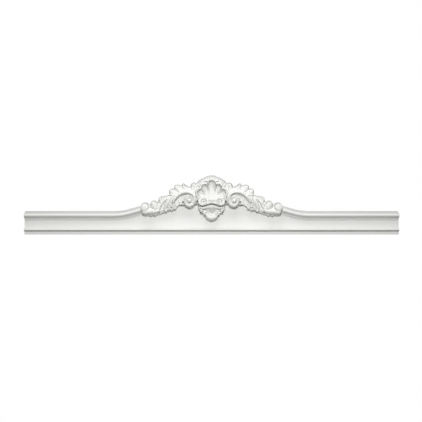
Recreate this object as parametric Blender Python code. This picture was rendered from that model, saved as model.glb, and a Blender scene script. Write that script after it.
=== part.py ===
"""Door head: a white crosshead moulding, cast in one piece.

Metres, +Z up. The back lies on the plane Y = 0 and the front faces -Y. The origin is on
the back, on the centre line, at mid-height of the straight band.
"""

import math

import bmesh
import bpy
import numpy as np

# Straight band
LENGTH = 1.275
BAND_HEIGHT = 0.0796
FRIEZE_DEPTH = 0.0235

# Bottom lip, heights above the bottom edge
FILLET_HEIGHT = 0.0100
FILLET_DEPTH = 0.027
LIP_UNDERSIDE_HEIGHT = 0.0134
LIP_UNDERSIDE_DEPTH = 0.0362
LIP_NOSE_HEIGHT = 0.0156
LIP_DEPTH = 0.0385
LIP_HEIGHT = 0.0235
LIP_CURVE = 1.5

# Cap moulding, drops below the top edge
TOP_EDGE_DEPTH = 0.003
QUIRK_DROP = 0.0063
QUIRK_DEPTH = 0.029
BEAD_DROP = 0.0073
BEAD_ROOT_DEPTH = 0.031
BEAD_HEIGHT = 0.0134
BEAD_DEPTH = 0.040
CAP_HEIGHT = 0.0329
COVE_DEPTH = 0.0218
COVE_CURVE = 1.2
LEDGE_HEIGHT = 0.0012

# Sweep of the cap moulding up to the carving
SWEEP_RADIUS = 0.210
SWEEP_ANGLE = math.radians(16)
RAMP_LENGTH = 0.051

# Carving: its spread sets the square of the grid on which it is drawn, and its lift
# is the height of the grid's first line above the top edge of the band
CARVING_SPREAD = 0.4807
CARVING_DEPTH = 0.0585
CARVING_LIFT = 0.0019
GRID_SQUARES = 142
SQUARE = CARVING_SPREAD / GRID_SQUARES
DEPTH_SHARE = CARVING_DEPTH / 100

# Places on the carving's grid
CAP_END = 67.0
BOARD_TOP = ((62.5, 4.0), (60.5, 3.4), (51.5, 6.6), (41.5, 11.4), (31.5, 17.0), (21.5, 20.0), (9.0, 24.0))

# Walls of the carved forms: (share of the depth, share of the spread) from the front back
SHOULDER = ((0.06, 0.2), (0.25, 0.5), (1, 1))

# Fineness of the solid, with the step between carved points in squares
VOXEL = 0.0020
STEP = 0.5
CARVING_TRIANGLES = 9000
BEAD_POINTS = 6
COVE_POINTS = 4
FLARE_POINTS = 4
SWEEP_STATIONS = 6
BEHIND_WALL = 0.006

TOP = BAND_HEIGHT / 2
BOTTOM = -BAND_HEIGHT / 2
GRID_FOOT = TOP + CARVING_LIFT


def clear_scene():
    """Removes every object, so that the file starts empty."""
    for obj in list(bpy.data.objects):
        bpy.data.objects.remove(obj, do_unlink=True)


def resin():
    """The white casting resin, as it leaves the mould."""
    material = bpy.data.materials.new("white_resin")
    material.use_nodes = True
    shader = material.node_tree.nodes["Principled BSDF"]
    shader.inputs["Base Color"].default_value = (0.84, 0.84, 0.83, 1)
    shader.inputs["Roughness"].default_value = 0.55
    shader.inputs["Metallic"].default_value = 0
    return material


def mesh_object(name, bm):
    """A linked object that holds the bmesh, with its faces turned outwards."""
    bmesh.ops.recalc_face_normals(bm, faces=bm.faces)
    mesh = bpy.data.meshes.new(name)
    bm.to_mesh(mesh)
    bm.free()
    obj = bpy.data.objects.new(name, mesh)
    bpy.context.scene.collection.objects.link(obj)
    return obj


def helper(obj):
    """Marks a guide or cutter, which is no piece of its own."""
    obj.hide_render = True
    obj.display_type = "WIRE"
    return obj


def lip_profile():
    """(height above the bottom edge, depth) up the front of the bottom lip."""
    points = [(0, FILLET_DEPTH), (FILLET_HEIGHT, FILLET_DEPTH)]
    points.append((LIP_UNDERSIDE_HEIGHT, LIP_UNDERSIDE_DEPTH))
    points.append((LIP_NOSE_HEIGHT, LIP_DEPTH))
    for share in np.linspace(0.25, 1, FLARE_POINTS):
        height = LIP_NOSE_HEIGHT + share * (LIP_HEIGHT - LIP_NOSE_HEIGHT)
        points.append((height, FRIEZE_DEPTH + (1 - share) ** LIP_CURVE * (LIP_DEPTH - FRIEZE_DEPTH)))
    return points


def cap_profile():
    """(drop below the top edge, depth) down the front of the cap moulding."""
    points = [(0, TOP_EDGE_DEPTH), (QUIRK_DROP, QUIRK_DEPTH)]
    for turn in np.linspace(0, math.pi, BEAD_POINTS):
        drop = BEAD_DROP + BEAD_HEIGHT * (1 - math.cos(turn)) / 2
        points.append((drop, BEAD_ROOT_DEPTH + (BEAD_DEPTH - BEAD_ROOT_DEPTH) * math.sin(turn)))
    cove_top = BEAD_DROP + BEAD_HEIGHT
    for share in np.linspace(1 / COVE_POINTS, 1, COVE_POINTS):
        drop = cove_top + share * (CAP_HEIGHT - cove_top)
        points.append((drop, COVE_DEPTH + (1 - share) ** COVE_CURVE * (BEAD_ROOT_DEPTH - COVE_DEPTH)))
    points.append((CAP_HEIGHT + LEDGE_HEIGHT, FRIEZE_DEPTH))
    return points


def sweep_path():
    """(x, z, tilt) of the cap's top edge on the right, from the centre outwards."""
    ramp_start = CAP_END * SQUARE
    ramp_end = ramp_start + RAMP_LENGTH
    sweep_end = ramp_end + SWEEP_RADIUS * math.sin(SWEEP_ANGLE)
    ramp_foot = TOP + SWEEP_RADIUS * (1 - math.cos(SWEEP_ANGLE))
    path = [(ramp_start, ramp_foot + RAMP_LENGTH * math.tan(SWEEP_ANGLE), SWEEP_ANGLE)]
    for tilt in np.linspace(SWEEP_ANGLE, 0, SWEEP_STATIONS):
        x = sweep_end - SWEEP_RADIUS * math.sin(tilt)
        path.append((x, TOP + SWEEP_RADIUS * (1 - math.cos(tilt)), tilt))
    path.append((LENGTH / 2, TOP, 0))
    return path


def swept_station(x, z, tilt):
    """Loop of (x, y, z) points round the band where the cap runs at this tilt."""
    loop = [(x, -depth, BOTTOM + height) for height, depth in lip_profile()]
    for drop, depth in reversed(cap_profile()):
        loop.append((x - drop * math.sin(tilt), -depth, z - drop * math.cos(tilt)))
    return loop + [(x, BEHIND_WALL, z), (x, BEHIND_WALL, BOTTOM)]


def board_station(x, top, foot):
    """Loop of points where the carving hides the band, which has no cap there."""
    loop = [(x, -depth, BOTTOM + height) for height, depth in lip_profile()]
    for z in np.linspace(foot, top, len(cap_profile())):
        loop.append((x, -FRIEZE_DEPTH, z))
    return loop + [(x, BEHIND_WALL, top), (x, BEHIND_WALL, BOTTOM)]


def band():
    """The straight band with its two swept caps, lofted from end to end."""
    path = sweep_path()
    foot = path[0][1] - cap_profile()[-1][0] * math.cos(SWEEP_ANGLE)
    right = [board_station(x * SQUARE, GRID_FOOT + h * SQUARE, foot) for x, h in reversed(BOARD_TOP)]
    right += [swept_station(*station) for station in path]
    left = [[(-x, y, z) for x, y, z in loop] for loop in reversed(right)]
    bm = bmesh.new()
    rings = [[bm.verts.new(point) for point in loop] for loop in left + right]
    for near, far in zip(rings, rings[1:]):
        for i, corner in enumerate(near):
            bm.faces.new((corner, near[i - 1], far[i - 1], far[i]))
    bm.faces.new(rings[0])
    bm.faces.new(rings[-1])
    return mesh_object("door_head", bm)


def curve(rows, steps):
    """Rows of numbers read at even steps along the smooth curve through them."""
    rows = np.asarray(rows, float)
    ends = np.vstack([2 * rows[0] - rows[1], rows, 2 * rows[-1] - rows[-2]])
    out = []
    for place in np.linspace(0, len(rows) - 1, steps):
        i = min(int(place), len(rows) - 2)
        t = place - i
        a, b, c, d = ends[i : i + 4]
        bend = (2 * a - 5 * b + 4 * c - d) * t**2 + (3 * b - a - 3 * c + d) * t**3
        out.append(b + 0.5 * ((c - a) * t + bend))
    return np.array(out)


def evenly(points, steps):
    """Places evenly spaced along the smooth curve through points."""
    fine = curve(points, 12 * len(points))
    run = np.concatenate([[0], np.cumsum(np.linalg.norm(np.diff(fine[:, :2], axis=0), axis=1))])
    return np.stack([np.interp(np.linspace(0, run[-1], steps), run, column) for column in fine.T], 1)


def length_of(rows):
    """Length of the line through the rows' first two numbers."""
    return np.linalg.norm(np.diff(np.asarray(rows, float)[:, :2], axis=0), axis=1).sum()


def ribbon(rows, crown):
    """Front of a crowned strip along rows of (x, h, half width, depth)."""
    line = curve(rows, max(8, round(length_of(rows) / STEP)))
    along = np.gradient(line[:, :2], axis=0)
    along /= np.linalg.norm(along, axis=1)[:, None]
    aside = np.stack([-along[:, 1], along[:, 0]], 1)
    v = np.linspace(-1, 1, max(5, round(2 * line[:, 2].max() / STEP)))
    front = np.empty((len(line), len(v), 3))
    front[..., :2] = line[:, None, :2] + aside[:, None] * line[:, 2, None, None] * v[:, None]
    front[..., 2] = line[:, 3, None] + crown * (1 - v**2)
    return front


def lobe(root, tip, half_width, root_depth, tip_depth, crown):
    """Front of a leaf lobe with a round tip, from its root to its tip."""
    u = np.linspace(0, 1, 12)
    root, tip = np.array(root, float), np.array(tip, float)
    middle = root + (tip - root) * u[:, None]
    swell = 0.6 + 0.4 * np.sin(np.pi / 2 * np.minimum(u / 0.6, 1))
    rounding = np.sqrt(1 - np.clip((u - 0.6) / 0.4, 0, 0.99) ** 2)
    depth = root_depth + (tip_depth - root_depth) * u**1.5
    return ribbon(np.column_stack([middle, half_width * swell * rounding, depth]), crown)


def leaf(stem, edge, dip):
    """Front of a leaf from its stem to its lobed edge, both rows of (x, h, depth)."""
    steps = round(length_of(edge) / STEP)
    near, far = evenly(stem, steps), evenly(edge, steps)
    widest = np.linalg.norm((far - near)[:, :2], axis=1).max()
    share = np.linspace(0, 1, round(widest / STEP))[:, None]
    front = near[:, None] + (far - near)[:, None] * share
    front[..., 2] -= dip * (4 * share * (1 - share))[:, 0]
    return front


def turned(x, h, profile):
    """Front of a round boss, from (radius, depth) pairs from its middle outwards."""
    radii, depths = np.array(profile, float).T
    fine = np.linspace(radii[0], radii[-1], max(5, round(radii[-1] / STEP)))
    angles = np.linspace(0, 2 * np.pi, max(16, round(2 * np.pi * radii[-1] / STEP)), endpoint=False)
    front = np.empty((len(fine), len(angles), 3))
    front[..., 0] = x + fine[:, None] * np.cos(angles)
    front[..., 1] = h + fine[:, None] * np.sin(angles)
    front[..., 2] = np.interp(fine, radii, depths)[:, None]
    return front


def fan(x, h, edges, reach, hollow, ridge):
    """Front of a fluted fan round (x, h).

    Args:
        edges: angles in degrees where one flute meets the next.
        reach: (angle, radius) rows of the rim.
        hollow: (share of the radius, depth) rows down the middle of a flute.
        ridge: the same along the ridges between flutes.
    """
    angles, radii = np.array(reach, float).T
    turn_length = math.radians(angles[-1] - angles[0]) * radii.max()
    rays = np.linspace(angles[0], angles[-1], round(turn_length / STEP))
    shares = np.linspace(0.01, 1, round(radii.max() / STEP)) ** 0.8
    bounds = np.array([angles[0], *edges, angles[-1]])
    flute = np.clip(np.searchsorted(bounds, rays) - 1, 0, len(bounds) - 2)
    across = 2 * (rays - bounds[flute]) / (bounds[flute + 1] - bounds[flute]) - 1
    low, high = (np.interp(shares, *np.array(rows, float).T)[:, None] for rows in (hollow, ridge))
    radius = shares[:, None] * np.interp(rays, angles, radii)
    front = np.empty((len(shares), len(rays), 3))
    front[..., 0] = x + radius * np.cos(np.radians(rays))
    front[..., 1] = h + radius * np.sin(np.radians(rays))
    front[..., 2] = low + (high - low) * across**2
    return front


def mirrored(rows):
    """Rows on the right, followed by their mirror on the left from the last but one."""
    return rows + [(-row[0], *row[1:]) for row in reversed(rows[:-1])]


def place(point, side):
    """Metres, for a point of the carving's grid on the right (1) or the left (-1)."""
    x, h, depth = point
    return side * x * SQUARE, -depth * DEPTH_SHARE, GRID_FOOT + h * SQUARE


def outline_of(verts, wrap):
    """The vertices round the edge of a front, in order."""
    if wrap:
        return verts[-1]
    left = [row[0] for row in verts[-2:0:-1]]
    right = [row[-1] for row in verts[1:-1]]
    return verts[0] + right + verts[-1][::-1] + left


def flare(outline, up, across, down):
    """How far the foot of a form's walls lies outside its front, as (x, y, z) moves."""
    points = np.array([(vert.co.x, vert.co.z) for vert in outline])
    ahead, behind = np.roll(points, -2, axis=0), np.roll(points, 2, axis=0)
    run = ahead - behind
    run /= np.linalg.norm(run, axis=1)[:, None] + 1e-9
    nearer = np.roll(points, -1, axis=0)
    area = np.sum(points[:, 0] * nearer[:, 1] - nearer[:, 0] * points[:, 1])
    out = np.stack([run[:, 1], -run[:, 0]], 1) * (1 if area > 0 else -1)
    rise, fall = np.clip(out[:, 1], 0, 1) ** 1.5, np.clip(-out[:, 1], 0, 1) ** 2
    move = out * (across + (up - across) * rise + (down - across) * fall)[:, None]
    return np.stack([move[:, 0], np.zeros(len(move)), move[:, 1]], 1)


def add_relief(bm, front, side=1, up=0.0055, across=0.0045, down=0.012, wrap=False):
    """Adds a closed solid from a front down to just behind the wall.

    Args:
        up: how far its walls spread where they face up.
        across: how far they spread where they face sideways.
        down: how far they spread where they face down.
        wrap: whether the front is made of closed rings.
    """
    verts = [[bm.verts.new(place(point, side)) for point in row] for row in front]
    for near, far in zip(verts, verts[1:]):
        for i in range(0 if wrap else 1, len(near)):
            bm.faces.new((near[i - 1], near[i], far[i], far[i - 1]))
    if wrap:
        bm.faces.new(verts[0])
    last = outline_of(verts, wrap)
    edge = np.array([vert.co for vert in last])
    move = flare(last, up, across, down)
    for sink, reach in SHOULDER:
        ring = edge + move * reach
        ring[:, 1] = edge[:, 1] * (1 - sink) + BEHIND_WALL / 2 * sink
        below = [bm.verts.new(point) for point in ring]
        for i, corner in enumerate(last):
            bm.faces.new((corner, last[i - 1], below[i - 1], below[i]))
        last = below
    middle = bm.verts.new(np.mean([vert.co for vert in last], axis=0))
    for i, corner in enumerate(last):
        bm.faces.new((corner, last[i - 1], middle))


def add_shell(bm):
    """The five-lobed shell, its roll and the two small volutes."""
    rim = [(-4, 12.6), (4, 13.6), (10, 14.8), (15, 15.9), (21, 17.1), (27, 17.9), (33, 18.3), (38, 18.3)]
    rim += [(43, 17.7), (47, 16.9), (51, 17.9), (56, 18.9), (62, 19.3), (68, 18.7), (73.5, 17.6), (77, 19.4)]
    rim += [(82, 20.9), (86, 21.5), (90, 21.7)]
    rim += [(180 - angle, radius) for angle, radius in reversed(rim[:-1])]
    hollow = [(0, 84), (0.12, 82), (0.2, 76), (0.3, 70), (0.45, 66), (0.6, 65), (0.7, 67), (0.77, 71)]
    hollow += [(0.82, 77), (0.86, 84), (0.895, 94), (0.92, 99), (0.97, 99.5), (1, 97)]
    ridge = [(0, 84), (0.2, 78), (0.4, 74), (0.6, 77), (0.75, 86), (0.85, 95), (0.92, 99), (0.97, 99.5), (1, 97)]
    add_relief(bm, fan(0, 10.6, (47, 73.5, 106.5, 133), rim, hollow, ridge), up=0.004, down=0.004)
    back = [(14.4, 25.6, 1.2, 76), (12.4, 28.2, 1.3, 77), (9.4, 30.1, 1.3, 78), (6, 31.6, 1.3, 79)]
    back += [(3, 32.9, 1.3, 80), (0, 33.4, 1.3, 80)]
    add_relief(bm, ribbon(mirrored(back), 0), up=0.0045, across=0.003)
    roll = [(-7, 9.3, 2.4, 64), (-5.2, 9.8, 2.9, 76), (-3, 10.2, 3.1, 83), (0, 10.4, 3.1, 84)]
    add_relief(bm, ribbon(mirrored(roll), 14), across=0.002, down=0.002)
    volute = [(0.1, 96), (0.6, 95), (1.2, 80), (2.1, 79), (2.9, 92), (3.6, 99), (4.1, 98), (4.6, 91)]
    for side in (1, -1):
        add_relief(bm, turned(8.4, 9.3, volute), side, across=0.003, down=0.002, wrap=True)
        web = [(12.6, 27.0, 1.4, 72), (13.8, 23.5, 1.6, 70), (14.8, 20.0, 1.6, 66)]
        add_relief(bm, ribbon(web, 0), side, up=0.001, across=0.001, down=0.001)


def add_pendant(bm):
    """The small palmette under the shell."""
    reach = [(180, 13.2), (190, 12.6), (198, 11.7), (205, 12.3), (211, 11.9), (217, 10.4), (225, 11.7)]
    reach += [(232, 11.3), (238, 10.2), (244, 10.8), (252, 10.8), (260, 10.8), (270, 10.8)]
    reach += [(540 - angle, radius) for angle, radius in reversed(reach[:-1])]
    dish = [(0, 80), (0.1, 79), (0.25, 73), (0.42, 63), (0.56, 58), (0.68, 60), (0.8, 70), (0.9, 76), (1, 73)]
    veins = [(0, 80), (0.1, 79), (0.25, 75), (0.42, 67), (0.56, 62), (0.68, 63), (0.8, 71), (0.9, 76), (1, 73)]
    edges = (198, 217, 238, 253, 262, 270, 278, 287, 302, 323, 342)
    add_relief(bm, fan(0, 3.4, edges, reach, dish, veins), up=0.001, across=0.002, down=0.006)
    top = [(-12.7, 3.5, 0.8, 75), (-8.5, 2.6, 1.0, 77), (-4, 3.5, 1.3, 78), (0, 4.2, 1.4, 79)]
    add_relief(bm, ribbon(mirrored(top), 4), up=0.002, down=0.002)
    seat = [(-12, 5.4, 1.4, 56), (-8.5, 4.6, 1.4, 58), (0, 6.4, 1.4, 60)]
    add_relief(bm, ribbon(mirrored(seat), 0), up=0, across=0, down=0)
    knob = [(0.1, 79), (1.8, 78.5), (3.0, 75), (4.0, 67), (4.7, 56), (5.2, 44)]
    add_relief(bm, turned(0, -6.3, knob), up=0, across=0.001, down=0.002, wrap=True)
    for side in (1, -1):
        add_relief(bm, lobe((4.6, 0.3), (7.4, -4.5), 1.6, 60, 80, 5), side, across=0.002, down=0.003)
        add_relief(bm, lobe((7.3, 2.8), (10.7, -1.6), 1.6, 62, 80, 5), side, across=0.002, down=0.003)


def add_scroll(bm, side):
    """The C-scroll: arch, coil, ball eye and the hollow leaf inside the arch."""
    arch = [(38.8, 6.4, 0.5, 72), (38.0, 8.8, 0.6, 80), (36.6, 11.6, 0.75, 84), (34.4, 14.3, 0.8, 86)]
    arch += [(31.6, 16.6, 0.8, 87), (28.5, 18.0, 0.8, 88), (25.2, 18.5, 0.8, 88), (21.9, 18.0, 0.8, 88)]
    arch += [(19.4, 16.5, 0.9, 88), (17.8, 13.8, 1.1, 86), (17.3, 10.6, 1.3, 84), (17.9, 7.3, 1.4, 83)]
    arch += [(19.8, 5.0, 1.4, 82), (22.6, 4.3, 1.3, 82), (25.3, 5.6, 1.1, 82), (26.7, 8.4, 1.0, 83)]
    arch += [(26.2, 11.2, 0.9, 85), (24.3, 13.0, 0.8, 85), (22.0, 13.3, 0.6, 84), (20.3, 12.4, 0.4, 80)]
    add_relief(bm, ribbon(arch, 3), side, up=0.003, down=0.010)
    add_relief(bm, turned(21.9, 9.6, [(0.1, 64), (5.0, 64)]), side, down=0.009, wrap=True)
    ball = [(0.1, 91), (1.2, 90), (2.0, 87), (2.6, 81), (3.0, 73)]
    add_relief(bm, turned(22.5, 9.6, ball), side, across=0.001, down=0.001, wrap=True)
    stem = [(20, 15.3, 66), (24, 16.2, 64), (28, 15.8, 62), (31.5, 13.8, 61), (34.5, 10.8, 60)]
    stem += [(36.8, 7.3, 58), (37.8, 4.6, 57)]
    edge = [(21.5, 13.0, 68), (24.5, 12.5, 66), (26.7, 10.6, 62), (27.8, 8.0, 58), (28.7, 8.3, 57)]
    edge += [(29.4, 9.2, 58), (30.1, 7.6, 66), (30.9, 6.7, 70), (31.8, 7.2, 68), (32.3, 8.0, 60)]
    edge += [(33.2, 6.1, 67), (34.0, 5.5, 70), (34.8, 5.9, 67), (35.1, 6.7, 59), (36.2, 4.2, 57)]
    add_relief(bm, leaf(stem, edge, 2), side, up=0.002, across=0.002, down=0.005)
    joint = [(14.9, 13.0, 1.5, 48), (14.6, 9.8, 1.5, 47), (14.2, 6.6, 1.3, 46)]
    add_relief(bm, ribbon(joint, 0), side, across=0.001, down=0.001)


def add_upper_leaf(bm, side):
    """The leaf over the arch, with its four lobes."""
    stem = [(17.2, 13.6, 70), (17.6, 16.1, 70), (19.2, 18.2, 72), (22, 19.4, 72), (25, 19.8, 72)]
    stem += [(28.5, 19.4, 72), (31.5, 18.2, 72), (34.2, 16.2, 72), (36.5, 13.6, 72)]
    edge = [(15.6, 19.6, 68), (15.4, 23.1, 68), (15.7, 25.2, 73), (16.6, 26.6, 77), (17.9, 27.0, 78)]
    edge += [(19.3, 26.4, 77), (20.2, 24.8, 74), (20.9, 22.8, 70), (22.3, 22.5, 70), (24.2, 23.4, 72)]
    edge += [(26.4, 24.6, 75), (27.7, 25.7, 78), (28.3, 26.3, 79), (28.9, 25.6, 78), (29.7, 24.2, 74)]
    edge += [(30.6, 23.6, 71), (31.8, 24.2, 72), (33.8, 24.6, 75), (35.8, 24.6, 77), (36.6, 23.8, 77)]
    edge += [(36.8, 22.2, 75), (36.6, 20.7, 70), (37.8, 20.8, 71), (39.6, 20.9, 75), (41.2, 20.4, 77)]
    edge += [(41.8, 19.1, 77), (41.3, 17.3, 74), (40.5, 15.7, 69)]
    add_relief(bm, leaf(stem, edge, 1), side)
    add_relief(bm, lobe((17.4, 15.6), (17.9, 26.6), 2.2, 70, 78, 3), side)


def add_blade(bm, side):
    """The outer blade of the lower leaf, with its lobes, its fold and its curled tip."""
    stem = [(43, 13.0, 76), (46.5, 10.0, 78), (49.4, 6.2, 79), (51.4, 2.4, 79), (53.2, -0.8, 78)]
    stem += [(57, -2.4, 78), (62, -2.7, 79)]
    edge = [(40.6, 15.0, 70), (44, 13.9, 74), (48, 13.1, 76), (50.3, 12.4, 79), (51.5, 11.3, 79)]
    edge += [(51.1, 10.2, 72), (52.1, 9.4, 75), (52.9, 8.2, 79), (52.7, 6.9, 77), (51.9, 5.8, 70)]
    edge += [(53.4, 6.4, 72), (56, 7.4, 75), (59.0, 7.0, 76), (60.4, 5.0, 74), (60.4, 3.4, 70)]
    edge += [(61.2, 2.6, 70), (62, 1.5, 72)]
    add_relief(bm, leaf(stem, edge, 2), side)
    add_relief(bm, lobe((55.0, 1.4), (58.4, 8.0), 2.5, 74, 80, 3), side)
    fold = [(52.5, 0.4, 1.2, 76), (56, -0.6, 1.6, 79), (60, -0.8, 1.9, 82), (63.3, -1.2, 1.6, 82)]
    fold.append((66.3, -2.2, 1.0, 80))
    add_relief(bm, ribbon(fold, 4), side)
    ball = [(0.1, 88), (1.7, 88), (2.7, 86), (3.4, 81), (3.8, 76)]
    add_relief(bm, turned(66.3, 2.6, ball), side, wrap=True)


def add_inner_leaf(bm, side):
    """The inner part of the lower leaf beside the arch, with its ridge, lobes and knot."""
    ground = [(37.5, 9.6, 2.0, 58), (40, 5.6, 3.0, 58), (44, 2.6, 2.8, 58), (48.5, 0.4, 2.4, 58)]
    ground += [(53, -1.3, 2.2, 60), (58, -1.6, 2.4, 64), (63, -0.6, 2.6, 66), (66, 0.6, 2.6, 66)]
    add_relief(bm, ribbon(ground, 0), side, down=0.006)
    ridge = [(34.8, 15.8, 0.5, 76), (37.2, 13.6, 0.6, 78), (39.6, 10.4, 0.65, 78), (41.6, 7.0, 0.65, 76)]
    ridge.append((42.6, 4.6, 0.5, 70))
    add_relief(bm, ribbon(ridge, 3), side, across=0.002, down=0.003)
    lobes = [(38.5, 15.0, 0.9, 76), (41.5, 12.0, 1.4, 78), (44.2, 8.2, 1.8, 79), (46.0, 4.0, 1.7, 76)]
    lobes += [(46.8, 0.9, 1.2, 72), (46.8, -0.6, 0.8, 68)]
    add_relief(bm, ribbon(lobes, 4), side, across=0.002, down=0.004)
    valley = [(43.6, 11.4, 1.2, 70), (46.6, 7.6, 1.4, 67), (48.8, 3.2, 1.4, 64), (50.4, -0.6, 1.3, 62)]
    add_relief(bm, ribbon(valley, 0), side, across=0.001, down=0.001)
    for root, tip, width, depths in (
        ((39.5, 8.4), (35.9, 2.0), 1.6, (70, 58)),
        ((41.2, 8.6), (39.4, 0.7), 1.25, (72, 64)),
        ((43.0, 7.1), (42.7, -0.2), 1.2, (74, 66)),
        ((45.2, 3.1), (46.0, -1.2), 1.3, (70, 76)),
    ):
        add_relief(bm, lobe(root, tip, width, *depths, 3), side, across=0.002, down=0.005)


def add_under_leaf(bm, side):
    """The row of small lobes that show under the blade."""
    tips = [(48.9, -2.0, 1.1), (51.4, -3.0, 1.1), (54.2, -3.8, 1.2), (57.6, -5.4, 1.4), (61.6, -5.6, 1.6)]
    for x, h, width in tips + [(65.4, -4.8, 1.4)]:
        front = lobe((x - 1.6, h + 3.6), (x, h), width, 68, 58, 3)
        add_relief(bm, front, side, across=0.002, down=0.005)


def carving():
    """All the carved forms, run together as the caster's model has them."""
    bm = bmesh.new()
    add_shell(bm)
    add_pendant(bm)
    for side in (1, -1):
        add_scroll(bm, side)
        add_upper_leaf(bm, side)
        add_blade(bm, side)
        add_inner_leaf(bm, side)
        add_under_leaf(bm, side)
    obj = helper(mesh_object("carving", bm))
    remesh = obj.modifiers.new("run_together", "REMESH")
    remesh.mode = "VOXEL"
    remesh.voxel_size = VOXEL
    soften = obj.modifiers.new("soften", "SMOOTH")
    soften.factor = 0.4
    soften.iterations = 1
    bpy.context.view_layer.update()
    fine = obj.evaluated_get(bpy.context.evaluated_depsgraph_get())
    count = sum(len(face.vertices) - 2 for face in fine.data.polygons)
    thin = obj.modifiers.new("thin_out", "DECIMATE")
    thin.ratio = min(1, CARVING_TRIANGLES / count)
    return obj


def wall():
    """The wall behind the back, a cutter that leaves the back flat."""
    bm = bmesh.new()
    bmesh.ops.create_cube(bm, size=1)
    depth = BEHIND_WALL * 4
    reach = LENGTH * 1.2
    bmesh.ops.scale(bm, vec=(reach, depth, reach), verts=bm.verts)
    bmesh.ops.translate(bm, vec=(0, depth / 2, 0), verts=bm.verts)
    return helper(mesh_object("wall", bm))


def boolean(obj, other, operation):
    """Adds a Boolean of the other object to this one."""
    modifier = obj.modifiers.new(operation.lower(), "BOOLEAN")
    modifier.operation = operation
    modifier.solver = "EXACT"
    modifier.use_self = True
    modifier.object = other


def main():
    clear_scene()
    head = band()
    head.data.materials.append(resin())
    boolean(head, carving(), "UNION")
    boolean(head, wall(), "DIFFERENCE")
    head.data.shade_smooth()
    head.data.set_sharp_from_angle(angle=math.radians(35))


main()
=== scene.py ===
"""White cast door head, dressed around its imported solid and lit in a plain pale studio.

Metres, +Z up. The back of the casting lies on the plane Y = 0 and its front faces -Y.
The carving is drawn on a grid of squares, as a carver squares up a drawing: x counts
squares from the centre line, h squares above the grid's first line, and depth is in
hundredths of the carving's full depth.
"""

import logging
import math
from abc import ABC, abstractmethod
from dataclasses import dataclass, replace
from enum import Enum
from typing import ClassVar, TypeVar

import bmesh
import bpy
import numpy as np
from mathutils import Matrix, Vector
from numpy.typing import NDArray


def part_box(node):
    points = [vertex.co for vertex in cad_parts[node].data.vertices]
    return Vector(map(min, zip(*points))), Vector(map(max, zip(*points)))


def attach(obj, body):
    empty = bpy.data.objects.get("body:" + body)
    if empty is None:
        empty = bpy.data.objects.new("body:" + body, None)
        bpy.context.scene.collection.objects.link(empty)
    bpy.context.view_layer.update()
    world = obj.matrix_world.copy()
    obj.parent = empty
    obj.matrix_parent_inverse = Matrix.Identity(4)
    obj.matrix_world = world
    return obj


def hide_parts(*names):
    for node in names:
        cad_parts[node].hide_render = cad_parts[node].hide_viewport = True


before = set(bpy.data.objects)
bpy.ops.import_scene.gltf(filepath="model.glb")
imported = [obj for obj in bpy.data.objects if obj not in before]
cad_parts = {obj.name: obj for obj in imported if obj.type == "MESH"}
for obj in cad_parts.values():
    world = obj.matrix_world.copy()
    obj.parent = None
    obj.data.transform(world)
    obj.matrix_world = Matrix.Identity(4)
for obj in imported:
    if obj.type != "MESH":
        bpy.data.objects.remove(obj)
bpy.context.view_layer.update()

Array = NDArray[np.float64]

# Rows of drawn numbers: (x, h) or another pair, (x, h, depth) or (X, Y, Z),
# (x, h, half width, depth), and (x, h, half length, half width, turn in degrees, depth)
Place = tuple[float, float]
Spot = tuple[float, float, float]
Row = tuple[float, float, float, float]
Cut = tuple[float, float, float, float, float, float]
Face = tuple[int, ...]
Drawn = TypeVar("Drawn", Spot, Row)

LOG = logging.getLogger("door_head")

# Photo frame, in pixels, and the place of the casting in it
FRAME_PIXELS = 422
CENTRE_PIXEL = 211.6
LENS_MM = 85.0
SENSOR_MM = 36.0
CAMERA_DISTANCE = 3.42
EYE_ABOVE_BAND = 0.0005

# Fineness of the carving: the step between carved points in squares, the cell in which
# its forms run together, its triangles, and how far it runs on behind the wall plane
CARVED_STEP = 0.3
VOXEL = 0.00105
CARVING_TRIANGLES = 165_000
BEHIND_WALL = 0.006
TINY = 1e-9


class Side(Enum):
    """The half of the casting on which a form is carved."""

    RIGHT = 1
    LEFT = -1


def linear(colour: str) -> tuple[float, float, float, float]:
    """Turns an sRGB hex colour into the linear values that a shader takes.

    Args:
        colour: six hex digits after a hash sign.

    Returns:
        Linear red, green, blue and full alpha.
    """
    shares = [int(colour[i : i + 2], 16) / 255 for i in (1, 3, 5)]
    red, green, blue = (s / 12.92 if s <= 0.04045 else ((s + 0.055) / 1.055) ** 2.4 for s in shares)
    return red, green, blue, 1.0


def smooth_curve(rows: list[Drawn], steps: int) -> Array:
    """Reads rows at even steps along the smooth curve that passes through them.

    Args:
        rows: rows of numbers, one for each chosen point.
        steps: how many places to read.

    Returns:
        The rows at those places.
    """
    given = np.asarray(rows, float)
    ends = np.vstack([2 * given[0] - given[1], given, 2 * given[-1] - given[-2]])
    places = np.linspace(0, len(given) - 1, steps)
    first = np.minimum(places.astype(int), len(given) - 2)
    t = (places - first)[:, None]
    a, b, c, d = (ends[first + i] for i in range(4))
    bend = (2 * a - 5 * b + 4 * c - d) * t**2 + (3 * b - a - 3 * c + d) * t**3
    return b + 0.5 * ((c - a) * t + bend)


def evenly(points: list[Spot], steps: int) -> Array:
    """Reads a smooth curve through points at places evenly spaced along it.

    Args:
        points: the chosen points.
        steps: how many places to read.

    Returns:
        The places.
    """
    fine = smooth_curve(points, 20 * len(points))
    run = np.concatenate([[0], np.cumsum(np.linalg.norm(np.diff(fine[:, :2], axis=0), axis=1))])
    places = np.linspace(0, run[-1], steps)
    return np.stack([np.interp(places, run, column) for column in fine.T], 1)


def both_sides(rows: list[Drawn]) -> list[Drawn]:
    """Runs a row of points on past the centre line as its own mirror image.

    Args:
        rows: rows that start with x, the last of them on the centre line.

    Returns:
        The rows of both sides.
    """
    return rows + [(-row[0], *row[1:]) for row in reversed(rows[:-1])]


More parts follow.
